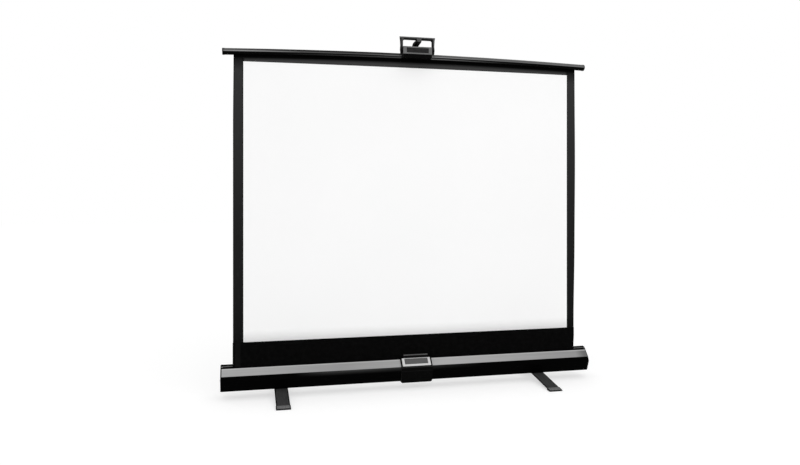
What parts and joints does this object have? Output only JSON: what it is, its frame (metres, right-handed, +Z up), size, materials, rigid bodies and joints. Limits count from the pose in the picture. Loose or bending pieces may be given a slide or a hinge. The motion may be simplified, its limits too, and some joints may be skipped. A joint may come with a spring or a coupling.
{
  "type": "projection screen",
  "caption": "Portable floor-standing pull-up projection screen with a black case, swivel feet, a roller sheet, a bowed top bar with a handle and a telescopic mast.",
  "frame": {"origin": "on the floor, under the middle of the case", "axes": "+X along the case to the viewer's right, +Y to the back, +Z up"},
  "size_m": [1.6876, 0.46, 1.564],
  "materials": {
    "case_metal": "black anodised, satin",
    "black_plastic": "moulded, fine grain",
    "grey_plastic": "moulded, fine grain",
    "plate_metal": "brushed",
    "plate_face": "smooth",
    "white_sheet": "matte white coating, black back",
    "black_sheet": "matte black print",
    "bar_metal": "black anodised, glossy",
    "mast_metal": "black anodised, satin",
    "steel": "zinc plated",
    "dark_steel": "powder coated",
    "foot_plastic": "moulded",
    "pad_rubber": "matt",
    "tube_metal": "mill finish"
  },
  "bodies": {
    "case": {"case_profile": "case_metal", "end_cap_left": "black_plastic", "end_cap_right": "black_plastic", "end_cap_screws": "steel", "roller_bracket_left": "steel", "roller_bracket_right": "steel", "spring_shaft": "steel", "idle_pin": "steel", "torsion_spring": "steel", "collar_front": "black_plastic", "collar_rear": "black_plastic", "collar_screws": "steel", "plate_frame": "plate_metal", "name_plate": "plate_face", "collar_catch": "grey_plastic", "mast_bracket": "dark_steel", "bracket_screws": "steel", "mast_pivot_pin": "steel", "mast_lower_tube": "mast_metal", "lower_bushing": "black_plastic", "lower_clamp": "black_plastic", "lower_lever_pin": "steel", "foot_bolts": "steel", "foot_washers": "steel", "foot_nuts": "steel", "screen_sheet": "white_sheet", "mask_left": "black_sheet", "mask_right": "black_sheet", "mask_top": "black_sheet", "black_drop": "black_sheet"},
    "roller": {"roller_tube": "tube_metal", "roller_plugs": "black_plastic", "fabric_roll": "white_sheet"},
    "top_bar": {"top_bar_tube": "bar_metal", "bar_tip_left": "black_plastic", "bar_tip_right": "black_plastic", "hem_rod": "steel", "handle_bracket": "black_plastic", "handle_block": "grey_plastic", "handle_label": "plate_face", "handle_loop": "grey_plastic", "handle_screws": "steel"},
    "mast_middle": {"mast_middle_tube": "mast_metal", "middle_slide_plug": "black_plastic", "upper_bushing": "black_plastic", "upper_clamp": "black_plastic", "upper_lever_pin": "steel"},
    "mast_upper": {"mast_upper_tube": "mast_metal", "upper_slide_plug": "black_plastic", "mast_head": "black_plastic"},
    "lower_lever": {"lower_clamp_lever": "black_plastic"},
    "upper_lever": {"upper_clamp_lever": "black_plastic"},
    "foot_left": {"foot_bar_left": "dark_steel", "foot_tips_left": "foot_plastic", "foot_pads_left": "pad_rubber"},
    "foot_right": {"foot_bar_right": "dark_steel", "foot_tips_right": "foot_plastic", "foot_pads_right": "pad_rubber"}
  },
  "joints": [
    {"name": "screen_lift", "type": "slide", "parent": "case", "child": "top_bar", "axis": [0, 0, -1], "range_m": [0, 0.75], "deforming": ["screen_sheet", "mask_left", "mask_right", "mask_top", "black_drop"]},
    {"name": "mast_middle_slide", "type": "slide", "parent": "case", "child": "mast_middle", "axis": [0, 0, -1], "range_m": [0, 0.375]},
    {"name": "mast_upper_slide", "type": "slide", "parent": "mast_middle", "child": "mast_upper", "axis": [0, 0, -1], "range_m": [0, 0.375]},
    {"name": "roller_spin", "type": "hinge", "parent": "case", "child": "roller", "pos_m": [0, 0.006, 0.086], "axis": [1, 0, 0], "range_deg": [0, 2100]},
    {"name": "lower_lever_flip", "type": "hinge", "parent": "case", "child": "lower_lever", "pos_m": [0.012, 0.047, 0.62432], "axis": [1, 0, 0], "range_deg": [0, 100]},
    {"name": "upper_lever_flip", "type": "hinge", "parent": "mast_middle", "child": "upper_lever", "pos_m": [0.012, 0.044, 1.06188], "axis": [1, 0, 0], "range_deg": [0, 100]},
    {"name": "foot_left_swing", "type": "hinge", "parent": "case", "child": "foot_left", "pos_m": [-0.59, 0, 0.0325], "axis": [0, 0, 1], "range_deg": [0, 90]},
    {"name": "foot_right_swing", "type": "hinge", "parent": "case", "child": "foot_right", "pos_m": [0.59, 0, 0.0325], "axis": [0, 0, 1], "range_deg": [-90, 0]}
  ],
  "couplings": [
    {"joint": "mast_middle_slide", "follows": "screen_lift", "ratio": 0.5},
    {"joint": "mast_upper_slide", "follows": "screen_lift", "ratio": 0.5},
    {"joint": "roller_spin", "follows": "screen_lift", "rad_per_m": 48.781}
  ]
}
